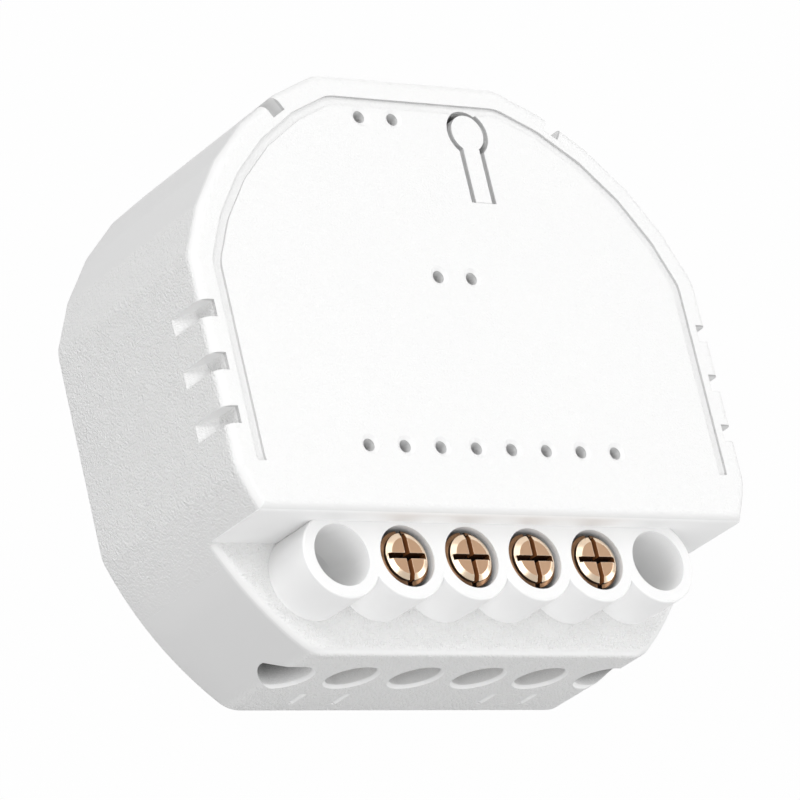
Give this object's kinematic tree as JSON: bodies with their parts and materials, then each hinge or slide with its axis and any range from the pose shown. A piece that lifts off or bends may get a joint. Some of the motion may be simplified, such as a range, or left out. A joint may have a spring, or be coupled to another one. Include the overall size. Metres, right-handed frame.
{
  "type": "smart light switch",
  "caption": "White in-wall relay module with a row of screw terminals in round tubes along one end and a small sprung button in its face.",
  "frame": {"origin": "middle of the outline, on the back face", "axes": "+Z out of the front face, -Y towards the terminal end, +X to the right seen from the front"},
  "size_m": [0.0512, 0.047, 0.0194],
  "materials": {
    "case_white": "fine moulded grain",
    "screw_metal": "bright plated, rose gold",
    "box_metal": "plain",
    "plate_steel": "zinc plated",
    "board_green": "solder mask",
    "relay_blue": "moulded",
    "black_plastic": "moulded",
    "soft_iron": "nickel plated",
    "coil_copper": "enamelled wire",
    "contact_silver": "plain",
    "can_sleeve": "shrink sleeve",
    "resistor_body": "lacquer",
    "varistor_blue": "dipped epoxy",
    "film_yellow": "moulded box",
    "ferrite": "dull",
    "winding_tape": "tape",
    "tinned_steel": "tinned",
    "antenna_copper": "gold flash",
    "led_lens": "clear"
  },
  "bodies": {
    "case": {"housing": "case_white", "back_cover": "case_white", "main_board": "board_green", "radio_board": "board_green", "relay_base": "black_plastic", "relay_cover": "relay_blue", "relay_yoke": "soft_iron", "relay_coil": "coil_copper", "relay_contact": "contact_silver", "bulk_capacitor": "can_sleeve", "output_capacitor": "can_sleeve", "fuse_resistor": "resistor_body", "varistor": "varistor_blue", "line_inductor": "ferrite", "safety_capacitor": "film_yellow", "transformer_core": "ferrite", "transformer_coil": "winding_tape", "bridge_rectifier": "black_plastic", "optocoupler": "black_plastic", "power_controller": "black_plastic", "header_strip": "black_plastic", "header_pins": "tinned_steel", "board_spacer": "black_plastic", "radio_chip": "black_plastic", "radio_shield": "tinned_steel", "antenna": "antenna_copper", "status_led": "led_lens", "tact_switch": "black_plastic", "terminal_box_1": "box_metal", "terminal_box_2": "box_metal", "terminal_box_3": "box_metal", "terminal_box_4": "box_metal"},
    "button": {"pairing_button": "case_white"},
    "plunger": {"tact_plunger": "relay_blue"},
    "armature": {"relay_armature": "soft_iron"},
    "plate_1": {"pressure_plate_1": "plate_steel"},
    "screw_1": {"clamp_screw_1": "screw_metal"},
    "plate_2": {"pressure_plate_2": "plate_steel"},
    "screw_2": {"clamp_screw_2": "screw_metal"},
    "plate_3": {"pressure_plate_3": "plate_steel"},
    "screw_3": {"clamp_screw_3": "screw_metal"},
    "plate_4": {"pressure_plate_4": "plate_steel"},
    "screw_4": {"clamp_screw_4": "screw_metal"}
  },
  "joints": [
    {"name": "button_press", "type": "hinge", "parent": "case", "child": "button", "pos_m": [0.005, 0.0128, 0.0194], "axis": [-1, 0, 0], "range_deg": [0, 2.29], "stiffness_Nm_per_rad": 0.25},
    {"name": "plunger_travel", "type": "slide", "parent": "case", "child": "plunger", "axis": [0, 0, -1], "range_m": [0, 0.00025]},
    {"name": "armature_tilt", "type": "hinge", "parent": "case", "child": "armature", "pos_m": [-0.0161, -0.0069, 0.01305], "axis": [0, 1, 0], "range_deg": [0, 3], "stiffness_Nm_per_rad": 0.05},
    {"name": "plate_1_travel", "type": "slide", "parent": "case", "child": "plate_1", "axis": [0, 0, -1], "range_m": [0, 0.003]},
    {"name": "screw_1_turn", "type": "hinge", "parent": "plate_1", "child": "screw_1", "pos_m": [-0.00953, -0.01725, 0.0088], "axis": [0, 0, -1], "range_deg": [0, 2160]},
    {"name": "plate_2_travel", "type": "slide", "parent": "case", "child": "plate_2", "axis": [0, 0, -1], "range_m": [0, 0.003]},
    {"name": "screw_2_turn", "type": "hinge", "parent": "plate_2", "child": "screw_2", "pos_m": [-0.00317, -0.01725, 0.0088], "axis": [0, 0, -1], "range_deg": [0, 2160]},
    {"name": "plate_3_travel", "type": "slide", "parent": "case", "child": "plate_3", "axis": [0, 0, -1], "range_m": [0, 0.003]},
    {"name": "screw_3_turn", "type": "hinge", "parent": "plate_3", "child": "screw_3", "pos_m": [0.00317, -0.01725, 0.0088], "axis": [0, 0, -1], "range_deg": [0, 2160]},
    {"name": "plate_4_travel", "type": "slide", "parent": "case", "child": "plate_4", "axis": [0, 0, -1], "range_m": [0, 0.003]},
    {"name": "screw_4_turn", "type": "hinge", "parent": "plate_4", "child": "screw_4", "pos_m": [0.00953, -0.01725, 0.0088], "axis": [0, 0, -1], "range_deg": [0, 2160]}
  ],
  "couplings": [
    {"joint": "plunger_travel", "follows": "button_press", "m_per_rad": 0.00625},
    {"joint": "screw_1_turn", "follows": "plate_1_travel", "rad_per_m": 12566},
    {"joint": "screw_2_turn", "follows": "plate_2_travel", "rad_per_m": 12566},
    {"joint": "screw_3_turn", "follows": "plate_3_travel", "rad_per_m": 12566},
    {"joint": "screw_4_turn", "follows": "plate_4_travel", "rad_per_m": 12566}
  ]
}
